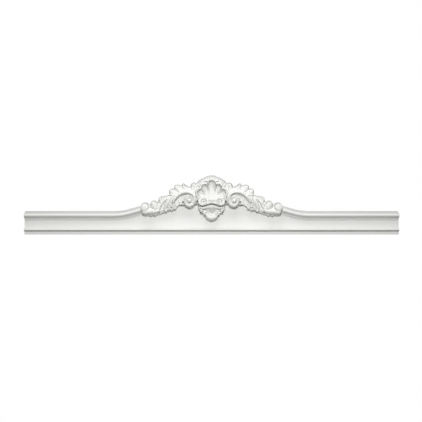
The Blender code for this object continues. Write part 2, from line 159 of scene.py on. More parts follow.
def walls(near: Array, far: Array) -> list[Face]:
    """Joins rings of point numbers with four-sided faces.

    Args:
        near: one ring, or rows of rings.
        far: the next ring of each.

    Returns:
        The faces.
    """
    quads = np.stack([near, np.roll(near, 1, -1), np.roll(far, 1, -1), far], -1)
    return [tuple(quad) for quad in quads.reshape(-1, 4).tolist()]


@dataclass(frozen=True)
class CarvingGrid:
    """The squares on which the carving is drawn.

    Attributes:
        foot: height of its first line, where h is 0.
        spread: width of the whole carving.
        depth: full depth of the carving, from the wall.
        squares: squares in the spread.
    """

    foot: float
    spread: float = 0.4807
    depth: float = 0.0585
    squares: int = 142

    @property
    def square(self) -> float:
        """The side of one square."""
        return self.spread / self.squares

    def place(self, front: Array, side: Side) -> Array:
        """Turns places on the grid into metres.

        Args:
            front: array that ends in x, h and depth.
            side: the half that is meant.

        Returns:
            The same array, ending in X, Y and Z.
        """
        x = side.value * front[..., 0] * self.square
        y = -front[..., 2] * self.depth / 100
        z = self.foot + front[..., 1] * self.square
        return np.stack([x, y, z], -1)


@dataclass(kw_only=True)
class Form(ABC):
    """One carved form: a front, with walls that run back and spread as they go.

    Attributes:
        up: how far the walls spread where they face up, in metres.
        across: how far they spread where they face sideways.
        down: how far they spread where they face down.
        side: the half that it is carved on.
        closed_round: whether the rows of its front are closed rings.
    """

    up: float = 0.0055
    across: float = 0.0045
    down: float = 0.012
    side: Side = Side.RIGHT
    closed_round: ClassVar[bool] = False

    @abstractmethod
    def front(self) -> Array:
        """The front as a grid of (x, h, depth)."""


@dataclass
class Ribbon(Form):
    """A strip along rows of (x, h, half width, depth).

    Attributes:
        rows: the chosen points of its middle line.
        crown: how far its middle stands up.
        fewest: fewest points along it and across it.
    """

    rows: list[Row]
    crown: float
    fewest: tuple[int, int] = (8, 5)

    def front(self) -> Array:
        """The strip, read finely enough for the carving.

        Returns:
            Its points in rows across the strip.
        """
        rough = np.asarray(self.rows, float)
        length = np.linalg.norm(np.diff(rough[:, :2], axis=0), axis=1).sum()
        line = smooth_curve(self.rows, max(self.fewest[0], round(length / CARVED_STEP)))
        along = np.gradient(line[:, :2], axis=0)
        along /= np.linalg.norm(along, axis=1)[:, None]
        aside = np.stack([-along[:, 1], along[:, 0]], 1)
        widest = 2 * rough[:, 2].max()
        across = np.linspace(-1, 1, max(self.fewest[1], round(widest / CARVED_STEP)))
        out = np.empty((len(line), len(across), 3))
        out[..., :2] = line[:, None, :2] + aside[:, None] * line[:, 2, None, None] * across[:, None]
        out[..., 2] = line[:, 3, None] + self.crown * (1 - across**2)
        return out


@dataclass
class Lobe(Form):
    """A leaf lobe with a round tip.

    Attributes:
        root: where it starts.
        tip: where it ends.
        half_width: half its width where it is widest.
        root_depth: depth at its root.
        tip_depth: depth at its tip.
        crown: how far its middle stands up.
        root_share: width at its root, as a share of the widest.
        round_from: share of its length where it is widest and starts to round off.
        round_to: share of the rounding at which its tip is blunt.
        bend: power by which its depth changes towards the tip.
        stations: chosen points along it.
    """

    root: Place
    tip: Place
    half_width: float
    root_depth: float
    tip_depth: float
    crown: float
    root_share: float = 0.6
    round_from: float = 0.6
    round_to: float = 0.99
    bend: float = 1.5
    stations: int = 12

    def front(self) -> Array:
        """The lobe as a strip that swells and then rounds off.

        Returns:
            Its points in rows across the lobe.
        """
        u = np.linspace(0, 1, self.stations)
        root, tip = np.array(self.root), np.array(self.tip)
        middle = root + (tip - root) * u[:, None]
        rise = np.sin(np.pi / 2 * np.minimum(u / self.round_from, 1))
        swell = self.root_share + (1 - self.root_share) * rise
        past = (u - self.round_from) / (1 - self.round_from)
        rounding = np.sqrt(1 - np.clip(past, 0, self.round_to) ** 2)
        depth = self.root_depth + (self.tip_depth - self.root_depth) * u**self.bend
        rows = np.column_stack([middle, self.half_width * swell * rounding, depth])
        return Ribbon(rows.tolist(), self.crown).front()


@dataclass
class Leaf(Form):
    """A leaf that spreads from a stem to a lobed edge.

    Attributes:
        stem: (x, h, depth) points along its stem.
        edge: (x, h, depth) points along its edge, from the same end.
        dip: how far its middle lies under the straight line from stem to edge.
    """

    stem: list[Spot]
    edge: list[Spot]
    dip: float = 0.0

    def front(self) -> Array:
        """The leaf, spanned between its stem and its edge.

        Returns:
            Its points in rows from stem to edge.
        """
        length = np.linalg.norm(np.diff(np.array(self.edge)[:, :2], axis=0), axis=1).sum()
        steps = round(length / CARVED_STEP)
        near, far = evenly(self.stem, steps), evenly(self.edge, steps)
        widest = np.linalg.norm((far - near)[:, :2], axis=1).max()
        share = np.linspace(0, 1, round(widest / CARVED_STEP))[:, None]
        out = near[:, None] + (far - near)[:, None] * share
        out[..., 2] -= self.dip * (4 * share * (1 - share))[:, 0]
        return out


@dataclass
class Boss(Form):
    """A round boss, turned about an axis that faces the front.

    Attributes:
        middle: where its axis stands.
        profile: (radius, depth) pairs from the middle outwards.
        fewest: fewest rings, and fewest points in a ring.
        girth: length of a ring, as a share of its radius.
    """

    closed_round: ClassVar[bool] = True
    middle: Place
    profile: list[Place]
    fewest: tuple[int, int] = (6, 20)
    girth: float = 6.3

    def front(self) -> Array:
        """The boss as rings round its middle.

        Returns:
            Its points, one row for each ring.
        """
        radii, depths = np.array(self.profile, float).T
        steps = radii[-1] / CARVED_STEP
        fine = np.linspace(radii[0], radii[-1], max(self.fewest[0], round(steps)))
        around = max(self.fewest[1], round(self.girth * radii[-1] / CARVED_STEP))
        angles = np.linspace(0, 2 * np.pi, around, endpoint=False)
        out = np.empty((len(fine), len(angles), 3))
        out[..., 0] = self.middle[0] + fine[:, None] * np.cos(angles)
        out[..., 1] = self.middle[1] + fine[:, None] * np.sin(angles)
        out[..., 2] = np.interp(fine, radii, depths)[:, None]
        return out


@dataclass
class Fan(Form):
    """A fan of hollow flutes round a foot, such as a scallop shell.

    Attributes:
        foot: where the flutes meet.
        edges: angles in degrees where one flute meets the next.
        reach: (angle, radius) pairs along the rim.
        hollow: (share of the radius, depth) pairs down the middle of a flute.
        ridge: the same along the ridges between flutes.
        rays: how many rays it is read along.
        rings: how many places along a ray.
        start: the first of these places.
        packing: power that moves the places out, where under 1.
    """

    foot: Place
    edges: tuple[float, ...]
    reach: list[Place]
    hollow: list[Place]
    ridge: list[Place]
    rays: int = 240
    rings: int = 70
    start: float = 0.01
    packing: float = 0.8

    def front(self) -> Array:
        """The fan, read along rays from its foot to its rim.

        Returns:
            Its points, one row for each ring.
        """
        angles, radii = np.array(self.reach, float).T
        rays = np.linspace(angles[0], angles[-1], self.rays)
        steps = np.linspace(self.start, 1, self.rings) ** self.packing
        edges = np.array([angles[0], *self.edges, angles[-1]])
        flute = np.clip(np.searchsorted(edges, rays) - 1, 0, len(edges) - 2)
        across = 2 * (rays - edges[flute]) / (edges[flute + 1] - edges[flute]) - 1
        low, high = (
            np.interp(steps, *np.array(line, float).T)[:, None] for line in (self.hollow, self.ridge)
        )
        turn = np.radians(rays)
        reach = np.interp(rays, angles, radii)
        out = np.empty((len(steps), len(rays), 3))
        out[..., 0] = self.foot[0] + steps[:, None] * reach * np.cos(turn)
        out[..., 1] = self.foot[1] + steps[:, None] * reach * np.sin(turn)
        out[..., 2] = low + (high - low) * across**2
        return out


class Ornament(ABC):
    """A sub-assembly of the carving."""

    @abstractmethod
    def forms(self) -> list[Form]:
        """The forms that it is built up from."""

    @staticmethod
    def mirrored(forms: list[Form]) -> list[Form]:
        """Gives the same forms to the left half.

        Args:
            forms: forms on the right half.

        Returns:
            The forms of both halves.
        """
        return forms + [replace(form, side=Side.LEFT) for form in forms]


@dataclass
class Shell(Ornament):
    """The five-lobed shell with the roll and two small volutes at its foot.

    Attributes:
        foot: where its flutes meet.
        edges: the angles where one flute meets the next.
        rib_step: the angle from one rib of its back to the next.
        ribbed_arc: the angle on each side of the top that has ribs.
        rib_start: radius where a rib starts, how much more at the top, and the power of that.
        rib_end: the same for where it ends.
        rib_half_width: half the width of a rib.
        rib_depth: its depth at the start, and the changes by its length and by that squared.
    """

    foot: Place = (0.0, 10.6)
    edges: tuple[float, ...] = (47, 73.5, 106.5, 133)
    rib_step: float = 6.4
    ribbed_arc: float = 45.0
    rib_start: Spot = (18.6, 1.4, 8)
    rib_end: Spot = (21.3, 2.3, 6)
    rib_half_width: float = 0.45
    rib_depth: Spot = (94, -22, -8)

    def bowl(self) -> Form:
        """The hollow bowl with its scalloped rim.

        Returns:
            The bowl.
        """
        rim = [
            (8, 14.3), (15, 15.9), (21, 17.1), (27, 17.9), (33, 18.3), (38, 18.3), (43, 17.7),
            (47, 16.9), (51, 17.9), (56, 18.9), (62, 19.3), (68, 18.7), (73.5, 17.6), (77, 19.4),
            (82, 20.9), (86, 21.5), (90, 21.7),
        ]
        rim += [(180 - angle, radius) for angle, radius in reversed(rim[:-1])]
        hollow = [
            (0, 84), (0.12, 82), (0.2, 76), (0.3, 70), (0.45, 65.5), (0.6, 64), (0.72, 64.5),
            (0.8, 67), (0.845, 72), (0.875, 81), (0.9, 94), (0.92, 99), (0.97, 99.5), (1, 97),
        ]
        ridge = [
            (0, 84), (0.12, 82), (0.2, 76.5), (0.3, 71), (0.42, 67.5), (0.52, 68), (0.64, 73),
            (0.76, 83), (0.85, 94), (0.92, 99), (0.97, 99.5), (1, 97),
        ]
        return Fan(self.foot, self.edges, rim, hollow, ridge, up=0.004, across=0.0045, down=0.004)

    def back(self) -> list[Form]:
        """The ribbed outside of the shell, which shows over its rim.

        Returns:
            The back, its ribs and the webs that close it to the rim at its ends.
        """
        stem = [(12.6, 22.6, 84), (11.0, 26.0, 86), (8.4, 28.4, 87), (5.4, 30.0, 86), (2.6, 30.9, 88)]
        stem.append((0, 31.1, 88))
        edge = [(15.3, 25.9, 44), (13.3, 29.0, 44), (10.0, 31.2, 45), (6.4, 32.8, 45), (3.1, 34.2, 45)]
        edge.append((0, 34.7, 45))
        back = Leaf(both_sides(stem), both_sides(edge), dip=-11, up=0.004, across=0.003)
        count = round(self.ribbed_arc / self.rib_step)
        ribs = [self.rib(90 + self.rib_step * (i + 0.5)) for i in range(-count, count)]
        web = [(12.6, 27.0, 1.7, 79), (13.8, 23.5, 1.8, 76), (14.8, 20.0, 1.7, 70)]
        webs = self.mirrored([Ribbon(web, 0, up=0.001, across=0.001, down=0.001)])
        return [back, *ribs, *webs]

    def rib(self, angle: float) -> Form:
        """One rib of the back, along a ray from the foot.

        Args:
            angle: the ray's angle in degrees.

        Returns:
            The rib.
        """
        turn = math.radians(angle)
        start, end = (
            radius + more * math.sin(turn) ** power for radius, more, power in (self.rib_start, self.rib_end)
        )
        level, sink, drop = self.rib_depth
        rows = []
        for share in (0, 0.5, 1):
            radius = start + (end - start) * share
            x, h = radius * math.cos(turn), self.foot[1] + radius * math.sin(turn)
            rows.append((x, h, self.rib_half_width, level + sink * share + drop * share**2))
        return Ribbon(rows, 2, up=0.0035, across=0.001, down=0.001)

    def forms(self) -> list[Form]:
        """The bowl, the back, the roll, the volutes and the lip.

        Returns:
            The forms of both halves.
        """
        roll = [(-7.4, 10.2, 2.0, 78), (-5.2, 10.5, 2.5, 84), (-3, 10.7, 2.8, 87), (0, 10.8, 2.9, 88)]
        volute = [(0.1, 97), (0.7, 96), (1.1, 84), (1.7, 83), (2.2, 93), (2.7, 96.5), (3.2, 94), (3.5, 90)]
        lip = [
            (-0.5, 8.4, 1.0, 88), (4.4, 7.3, 1.05, 90), (8.5, 6.0, 1.1, 92), (11.6, 6.8, 1.1, 93),
            (13.2, 9.3, 1.0, 94), (13.8, 12.6, 0.8, 96),
        ]
        foot = [
            Boss((9.0, 9.4), [(0.1, 85), (4.3, 85)], across=0.002, down=0.002),
            Boss((7.9, 9.5), volute, across=0.001, down=0.001),
            Ribbon(lip, 3, across=0.003, down=0.003),
        ]
        rolled = Ribbon(both_sides(roll), 6, up=0.002, across=0.002, down=0.002)
        return [self.bowl(), *self.back(), rolled, *self.mirrored(foot)]


@dataclass
class Pendant(Ornament):
    """The small palmette that hangs under the shell.

    Attributes:
        foot: where its veins meet.
        edges: the angles of its veins.
    """

    foot: Place = (0.0, 3.4)
    edges: tuple[float, ...] = (198, 217, 238, 253, 262, 270, 278, 287, 302, 323, 342)

    def dish(self) -> Form:
        """The dished palmette with its lobed edge.

        Returns:
            The dish.
        """
        reach = [
            (180, 13.4), (189, 12.9), (197, 12.0), (203, 12.5), (208, 12.0), (214, 9.8), (223, 10.6),
            (230, 10.9), (237, 9.4), (246, 10.2), (254, 10.7), (262, 11.4), (270, 11.7),
        ]
        reach += [(540 - angle, radius) for angle, radius in reversed(reach[:-1])]
        hollow = [(0, 80), (0.12, 79), (0.28, 72), (0.44, 62), (0.6, 57), (0.73, 58), (0.83, 66), (0.92, 75)]
        veins = [(0, 80), (0.12, 79), (0.28, 74), (0.44, 66), (0.6, 60), (0.73, 61), (0.83, 67), (0.92, 75)]
        hollow.append((1, 73))
        veins.append((1, 73))
        return Fan(self.foot, self.edges, reach, hollow, veins, up=0.001, across=0.002, down=0.007)

    def forms(self) -> list[Form]:
        """The dish, its top roll, its side lobes and its round toe.

        Returns:
            The forms of both halves.
        """
        top = both_sides([(-12.7, 3.5, 0.8, 75), (-8.5, 2.6, 1.0, 77), (-4, 3.5, 1.3, 78), (0, 4.1, 1.6, 81)])
        seat = both_sides([(-12, 5.4, 1.4, 56), (-8.5, 4.6, 1.4, 58), (0, 6.4, 1.4, 60)])
        toe = both_sides([(-5.3, -5.5, 0.9, 75), (-2.9, -6.5, 1.5, 78), (0, -7.0, 1.8, 79)])
        lobes = [
            Lobe((5.0, 0.6), (7.7, -3.9), 1.35, 58, 82, 5, across=0.0015, down=0.006),
            Lobe((8.0, 2.8), (11.2, -1.1), 1.35, 60, 82, 5, across=0.0015, down=0.006),
        ]
        rolls = [
            Ribbon(top, 1.5, up=0.002, down=0.002),
            Ribbon(seat, 0, up=0, across=0, down=0),
            Ribbon(toe, 2, up=0.001, across=0.003, down=0.014),
        ]
        return [self.dish(), *rolls, *self.mirrored(lobes)]


@dataclass
class Scrolls(Ornament):
    """The C-scroll on each side of the shell: arch, coil, ball eye and inner leaf.

    Attributes:
        eye: where the ball of the coil stands.
    """

    eye: Place = (22.4, 9.9)

    def inner_leaf(self) -> Form:
        """The hollow leaf inside the arch, with two small curled tips.

        Returns:
            The leaf.
        """
        stem = [(20, 15.3, 66), (24, 16.2, 64), (28, 15.8, 62), (31.5, 13.8, 61), (34.5, 10.8, 60)]
        stem += [(36.8, 7.3, 58), (37.8, 4.6, 57)]
        edge = [(21.5, 13.0, 68), (24.5, 12.7, 66), (26.8, 11.2, 63), (28.4, 9.9, 61), (29.3, 8.6, 62)]
        edge += [(29.7, 7.2, 66), (30.3, 6.2, 70), (31.2, 5.8, 71), (32.0, 6.1, 68), (32.5, 6.9, 61)]
        edge += [(33.2, 5.2, 68), (34.2, 4.5, 71), (35.1, 4.8, 67), (35.6, 5.5, 60), (36.4, 3.8, 57)]
        return Leaf(stem, edge, dip=2, up=0.002, across=0.002, down=0.005)

    def forms(self) -> list[Form]:
        """The arch with its coil, the ball, the floors behind them and the inner leaf.

        Returns:
            The forms of both halves.
        """
        arch = [(38.8, 6.4, 0.5, 72), (38.0, 8.8, 0.6, 80), (36.6, 11.6, 0.75, 84), (34.4, 14.3, 0.8, 86)]
        arch += [(31.6, 16.6, 0.8, 87), (28.5, 18.0, 0.8, 88), (25.2, 18.5, 0.8, 88), (21.9, 18.0, 0.8, 88)]
        arch += [(19.4, 16.5, 0.9, 88), (17.8, 13.8, 1.1, 86), (17.3, 10.8, 1.2, 84), (17.9, 7.8, 1.2, 83)]
        arch += [(19.7, 5.7, 1.2, 82), (22.4, 5.0, 1.15, 82), (25.1, 6.2, 1.1, 82), (26.5, 8.7, 1.0, 83)]
        arch += [(26.1, 11.3, 0.9, 85), (24.2, 13.1, 0.8, 85), (22.0, 13.4, 0.6, 84), (20.4, 12.5, 0.4, 80)]
        joint = [(15.0, 16.0, 1.6, 74), (15.0, 13.4, 1.6, 74), (14.6, 10.8, 1.8, 74), (14.4, 8.4, 1.7, 74)]
        joint.append((14.3, 6.6, 1.5, 70))
        ball = [(0.1, 92), (1.0, 91), (1.8, 88), (2.3, 82), (2.65, 72)]
        right = [
            Ribbon(arch, 3, up=0.003, down=0.010),
            Boss((21.9, 9.8), [(0.1, 70), (4.6, 70)], down=0.007),
            Boss(self.eye, ball, across=0.001, down=0.001),
            Boss((28.5, 7.8), [(0.1, 70), (2.1, 70)], across=0.001, down=0.003),
            self.inner_leaf(),
            Ribbon(joint, 0, across=0.001, down=0.001),
        ]
        return self.mirrored(right)


@dataclass
class UpperLeaves(Ornament):
    """The leaf over each arch, with its four lobes."""

    def forms(self) -> list[Form]:
        """The leaf with its lobed edge, and a fuller first lobe.

        Returns:
            The forms of both halves.
        """
        stem = [(17.2, 13.6, 74), (17.6, 16.1, 76), (19.2, 18.2, 79), (22, 19.4, 80), (25, 19.8, 80)]
        stem += [(28.5, 19.4, 80), (31.5, 18.2, 80), (34.2, 16.2, 79), (36.5, 13.6, 77)]
        first = [(15.6, 19.6, 68), (15.4, 23.1, 68), (15.7, 25.2, 73), (16.6, 26.6, 77), (17.9, 27.0, 78)]
        first += [(19.3, 26.4, 77), (20.2, 24.8, 74), (20.9, 22.8, 70), (22.3, 22.5, 70), (24.2, 23.4, 72)]
        second = [(26.4, 24.6, 75), (27.7, 25.7, 78), (28.3, 26.3, 79), (28.9, 25.6, 78), (29.7, 24.2, 74)]
        third = [(30.6, 23.6, 71), (31.8, 24.2, 72), (33.8, 24.6, 75), (35.8, 24.6, 77), (36.6, 23.8, 77)]
        third += [(36.8, 22.2, 75), (36.6, 20.7, 70)]
        fourth = [(37.8, 20.8, 71), (39.6, 20.9, 75), (41.2, 20.4, 77), (41.8, 19.1, 77), (41.3, 17.3, 74)]
        fourth.append((40.5, 15.7, 69))
        right = [
            Leaf(stem, first + second + third + fourth, dip=1),
            Lobe((17.4, 15.6), (17.9, 26.6), 2.2, 70, 78, 3),
        ]
        return self.mirrored(right)


@dataclass
class LowerLeaves(Ornament):
    """The leaf that runs out to a curled tip on each side, with its lobes and knot.

    Attributes:
        curl: where the ball of the curled tip stands.
    """

    curl: Place = (67.0, 2.7)

    def blade(self) -> list[Form]:
        """The outer blade, with its lobes, its veins, its fold and its curled tip.

        Returns:
            The forms of the right half.
        """
        stem = [(43.3, 13.0, 76), (47.0, 10.0, 78), (49.9, 6.2, 79), (51.9, 2.4, 79), (53.6, -0.8, 78)]
        stem += [(57, -2.4, 78), (62, -2.7, 79)]
        edge = [(40.6, 15.0, 70), (44, 13.9, 74), (48, 13.3, 77), (50.8, 12.8, 79), (52.5, 11.6, 80)]
        edge += [(52.6, 10.2, 78), (52.1, 9.2, 72), (53.2, 8.6, 75), (53.8, 7.5, 79), (53.4, 6.4, 76)]
        edge += [(53.0, 5.6, 70), (54.6, 7.0, 73), (57, 7.9, 75), (60.0, 7.4, 76), (61.3, 5.2, 74)]
        edge += [(61.3, 3.6, 70), (62.0, 2.6, 70), (62.6, 1.5, 72)]
        veins = [
            [(44.5, 12.2, 0.4, 75), (47.6, 9.6, 0.4, 77), (50.4, 5.6, 0.4, 77), (52.6, 1.2, 0.4, 77)],
            [(47, 12.0, 0.4, 75), (49.6, 9.2, 0.4, 76), (51.6, 5.4, 0.4, 76), (53.6, 1.8, 0.4, 77)],
        ]
        fold = [(52.5, 0.4, 1.2, 76), (56, -0.6, 1.6, 79), (60, -0.8, 1.9, 82), (63.6, -1.2, 1.7, 82)]
        fold += [(67.0, -1.9, 1.3, 80), (69.6, -0.4, 0.8, 77)]
        ball = [(0.1, 86), (1.8, 86), (2.9, 85), (3.7, 81.5), (4.1, 77)]
        return [
            Leaf(stem, edge, dip=2),
            *[Ribbon(vein, 2, across=0.001, down=0.001) for vein in veins],
            Lobe((56.0, 1.6), (59.2, 8.6), 2.6, 80, 80, 3),
            Ribbon(fold, 4),
            Boss(self.curl, ball, across=0.003, down=0.005),
        ]

    def inner_leaf(self) -> list[Form]:
        """The inner leaf beside the arch, with its ridge, its small lobes and the knot.

        Returns:
            The forms of the right half.
        """
        ridge = [(34.8, 15.8, 0.5, 76), (37.2, 13.6, 0.6, 78), (39.6, 10.4, 0.65, 78), (41.6, 7.0, 0.65, 76)]
        ridge.append((42.6, 4.6, 0.5, 70))
        leaf = [(38.5, 15.0, 0.9, 76), (41.5, 12.0, 1.4, 78), (44.2, 8.2, 1.8, 79), (46.0, 4.0, 1.7, 76)]
        leaf += [(46.8, 0.9, 1.2, 72), (46.8, -0.6, 0.8, 68)]
        ground = [(37.5, 9.6, 2.0, 58), (40, 5.6, 3.0, 58), (44, 2.6, 2.8, 58), (48.5, 0.4, 2.4, 58)]
        ground += [(53, -1.3, 2.2, 60), (58, -1.6, 2.4, 64), (63, -0.6, 2.6, 66), (66, 0.6, 2.6, 66)]
        brow = [(35.4, 15.1, 0.4, 78), (38.4, 15.9, 0.5, 79), (42.0, 15.7, 0.4, 78)]
        valley = [(43.8, 11.4, 1.3, 67), (46.9, 7.6, 1.6, 63), (49.1, 3.2, 1.6, 60), (50.7, -0.6, 1.4, 58)]
        return [
            Ribbon(ground, 0, down=0.006),
            Ribbon(valley, 0, across=0.001, down=0.001),
            Ribbon(brow, 2, across=0.001, down=0.001),
            Ribbon(ridge, 3, across=0.002, down=0.003),
            Ribbon(leaf, 4, across=0.002, down=0.004),
            Lobe((39.3, 8.6), (36.4, 1.2), 2.3, 72, 64, 3, across=0.002, down=0.005),
            Lobe((41.2, 8.6), (39.9, -0.1), 1.9, 72, 66, 3, across=0.002, down=0.005),
            Lobe((43.0, 7.1), (42.7, -0.2), 1.2, 74, 66, 3, across=0.002, down=0.005),
            Lobe((45.2, 3.1), (46.0, -1.2), 1.3, 70, 76, 4, across=0.0015, down=0.004),
        ]

    def under_leaf(self) -> list[Form]:
        """The row of small lobes that show under the blade.

        Returns:
            The forms of the right half.
        """
        tips = [
            (48.9, -2.0, 1.1), (51.4, -3.0, 1.1), (54.2, -3.8, 1.2), (57.6, -5.4, 1.4),
            (61.6, -5.6, 1.6), (65.4, -4.8, 1.4),
        ]
        return [
            Lobe((x - 1.6, h + 3.6), (x, h), width, 68, 58, 3, across=0.002, down=0.005)
            for x, h, width in tips
        ]

    def forms(self) -> list[Form]:
        """The leaves of both halves."""
        return self.mirrored(self.blade() + self.inner_leaf() + self.under_leaf())


@dataclass
class Carving:
    """All the ornaments, run together as the caster's model has them.

    Attributes:
        grid: the squares on which it is drawn.
        ornaments: its sub-assemblies.
        shoulder: (share of the depth, share of the spread) down a form's walls.
        lean: powers that ease the spread from sideways to up, and to down.
        softening: how strongly the joined forms are softened.
        soften_rounds: how many times.
    """

    grid: CarvingGrid
    ornaments: tuple[Ornament, ...] = (Shell(), Pendant(), Scrolls(), UpperLeaves(), LowerLeaves())
    shoulder: tuple[Place, ...] = ((0.03, 0.12), (0.2, 0.34), (1, 1))
    lean: Place = (1.5, 2.0)
    softening: float = 0.5
    soften_rounds: int = 3

    def solid_of(self, form: Form) -> tuple[Array, list[Face]]:
        """Closes a form's front with walls and a back just behind the wall plane.

        Args:
            form: the form to close.

        Returns:
            Its points in metres, and its faces as rows of point numbers.
        """
        front = self.grid.place(form.front(), form.side)
        rows, columns = front.shape[:2]
        numbers = np.arange(rows * columns).reshape(rows, columns)
        faces: list[Face] = []
        if form.closed_round:
            near, far = numbers[:-1], numbers[1:]
            quads = np.stack([np.roll(near, 1, 1), near, far, np.roll(far, 1, 1)], -1)
            faces.append(tuple(numbers[0].tolist()))
            outline = numbers[-1]
        else:
            quads = np.stack([numbers[:-1, :-1], numbers[:-1, 1:], numbers[1:, 1:], numbers[1:, :-1]], -1)
            outline = np.concatenate([numbers[0], numbers[1:-1, -1], numbers[-1, ::-1], numbers[-2:0:-1, 0]])
        faces += [tuple(quad) for quad in quads.reshape(-1, 4).tolist()]
        points = [front.reshape(-1, 3)]
        edge = points[0][outline]
        spread = self.spread(edge, form)
        last, count = outline, len(points[0])
        for sink, reach in self.shoulder:
            ring = edge + spread * reach
            ring[:, 1] = edge[:, 1] * (1 - sink) + BEHIND_WALL / 2 * sink
            points.append(ring)
            below = np.arange(count, count + len(ring))
            faces += walls(last, below)
            last, count = below, count + len(ring)
        points.append(points[-1].mean(axis=0)[None])
        faces += [(a, b, count) for a, b in zip(last.tolist(), np.roll(last, 1).tolist())]
        return np.vstack(points), faces

    def spread(self, outline: Array, form: Form) -> Array:
        """How far the foot of a form's walls lies outside its front.

        Args:
            outline: the points round its front, in order.
            form: the form, which says how far its walls spread.

        Returns:
            One move for each point, along the wall plane.
        """
        flat = outline[:, [0, 2]]
        ahead, behind = np.roll(flat, -3, axis=0), np.roll(flat, 3, axis=0)
        run = ahead - behind
        run /= np.linalg.norm(run, axis=1)[:, None] + TINY
        nearer = np.roll(flat, -1, axis=0)
        area = np.sum(flat[:, 0] * nearer[:, 1] - nearer[:, 0] * flat[:, 1])
        out = np.stack([run[:, 1], -run[:, 0]], 1) * (1 if area > 0 else -1)
        facings = (out[:, 1], -out[:, 1])
        rise, fall = (np.clip(facing, 0, 1) ** power for facing, power in zip(facings, self.lean))
        reach = form.across + (form.up - form.across) * rise + (form.down - form.across) * fall
        move = out * reach[:, None]
        return np.stack([move[:, 0], np.zeros(len(move)), move[:, 1]], 1)

    def build(self) -> bpy.types.Object:
        """The carving as one closed mesh, run together and softened as a cast is.

        Returns:
            Its object.
        """
        points: list[Array] = []
        faces: list[Face] = []
        start = 0
        for ornament in self.ornaments:
            forms = ornament.forms()
            for form in forms:
                own, around = self.solid_of(form)
                points.append(own)
                faces += [tuple(start + i for i in face) for face in around]
                start += len(own)
            LOG.info("%s: %d forms", type(ornament).__name__, len(forms))
        obj = new_object("carving", np.vstack(points), faces)
        remesh = obj.modifiers.new("run_together", "REMESH")
        remesh.mode = "VOXEL"
        remesh.voxel_size = VOXEL
        soften = obj.modifiers.new("soften", "SMOOTH")
        soften.factor = self.softening
        soften.iterations = self.soften_rounds
        settle(obj)
        count = sum(len(face.vertices) - 2 for face in obj.data.polygons)
        if count > CARVING_TRIANGLES:
            thin = obj.modifiers.new("thin_out", "DECIMATE")
            thin.ratio = CARVING_TRIANGLES / count
            settle(obj)
        plugs = GougeCuts(self.grid).build()
        gouge = obj.modifiers.new("gouge", "BOOLEAN")
        gouge.operation = "DIFFERENCE"
        gouge.solver = "EXACT"
        gouge.object = plugs
        settle(obj)
        bpy.data.objects.remove(plugs)
        return obj


@dataclass
class GougeCuts:
    """The small tapered cuts where lobes part, which read as dark dots and strokes.

    Attributes:
        grid: the squares on which they are marked.
        cuts: (x, h, half length, half width, turn in degrees, depth of the bottom) of each
            on the right half.
        start: depth from which they are cut.
        taper: size at the mouth and at the bottom, as shares of the size given.
        corners: corners round one cut.
    """

    grid: CarvingGrid
    cuts: tuple[Cut, ...] = (
        (39.7, 7.8, 0.75, 0.75, 0, 56), (40.4, 3.2, 0.85, 0.85, 0, 52), (43.6, -0.4, 0.8, 0.8, 0, 50),
        (52.6, -2.2, 0.8, 0.8, 0, 48), (28.7, 7.7, 1.9, 0.85, 90, 38), (14.5, 8.1, 2.3, 0.95, 90, 38),
        (11.0, -2.1, 1.2, 0.5, 12, 44), (7.2, -5.4, 1.3, 0.5, 20, 44), (6.9, -0.2, 2.6, 0.5, -45, 58),
        (64.2, 1.7, 2.5, 0.35, -38, 76),
    )
    start: float = 98.0
    taper: Place = (1.3, 0.6)
    corners: int = 16

    def rings(self, cut: Cut, side: Side) -> list[Array]:
        """The mouth and the bottom of one cut.

        Args:
            cut: its row of numbers.
            side: the half that it is on.

        Returns:
            Both rings, in metres.
        """
        x, h, long, wide, degrees, bottom = cut
        angles = np.linspace(0, 2 * np.pi, self.corners, endpoint=False)
        turn = np.radians(degrees)
        a, b = long * np.cos(angles), wide * np.sin(angles)
        outline = np.stack([a * np.cos(turn) - b * np.sin(turn), a * np.sin(turn) + b * np.cos(turn)], -1)
        out = []
        for share, depth in zip(self.taper, (self.start, bottom)):
            ring = np.column_stack([(x, h) + outline * share, np.full(self.corners, depth)])
            out.append(self.grid.place(ring, side))
        return out

    def build(self) -> bpy.types.Object:
        """The cuts of both halves, as plugs to cut with.

        Returns:
            Their object.
        """
        points: list[Array] = []
        faces: list[Face] = []
        for side in Side:
            for cut in self.cuts:
                near = np.arange(self.corners) + len(points) * self.corners
                far = near + self.corners
                points += self.rings(cut, side)
                faces += [*walls(near, far), tuple(near.tolist()), tuple(far.tolist())]
        return new_object("gouge_cuts", np.vstack(points), faces)


def new_object(name: str, points: Array, faces: list[Face]) -> bpy.types.Object:
    """Makes a linked mesh object with its faces turned outwards.

    Args:
        name: the object's name.
        points: its points in metres.
        faces: its faces as rows of point numbers.

    Returns:
        The object.
    """
    mesh = bpy.data.meshes.new(name)
    mesh.from_pydata(points.tolist(), [], faces)
    shape = bmesh.new()
    shape.from_mesh(mesh)
    bmesh.ops.recalc_face_normals(shape, faces=shape.faces)
    shape.to_mesh(mesh)
    shape.free()
    obj = bpy.data.objects.new(name, mesh)
    bpy.context.scene.collection.objects.link(obj)
    return obj


def block(name: str, middle: Vector, size: Vector) -> bpy.types.Object:
    """Makes a linked block, square to the axes.

    Args:
        name: its name.
        middle: where its middle stands.
        size: its three sides.

    Returns:
        The block.
    """
    corners = [(x, y, z) for x in (-0.5, 0.5) for y in (-0.5, 0.5) for z in (-0.5, 0.5)]
    faces = [(0, 1, 3, 2), (4, 6, 7, 5), (0, 4, 5, 1), (2, 3, 7, 6), (0, 2, 6, 4), (1, 5, 7, 3)]
    return new_object(name, np.array(corners) * size + np.array(middle), faces)


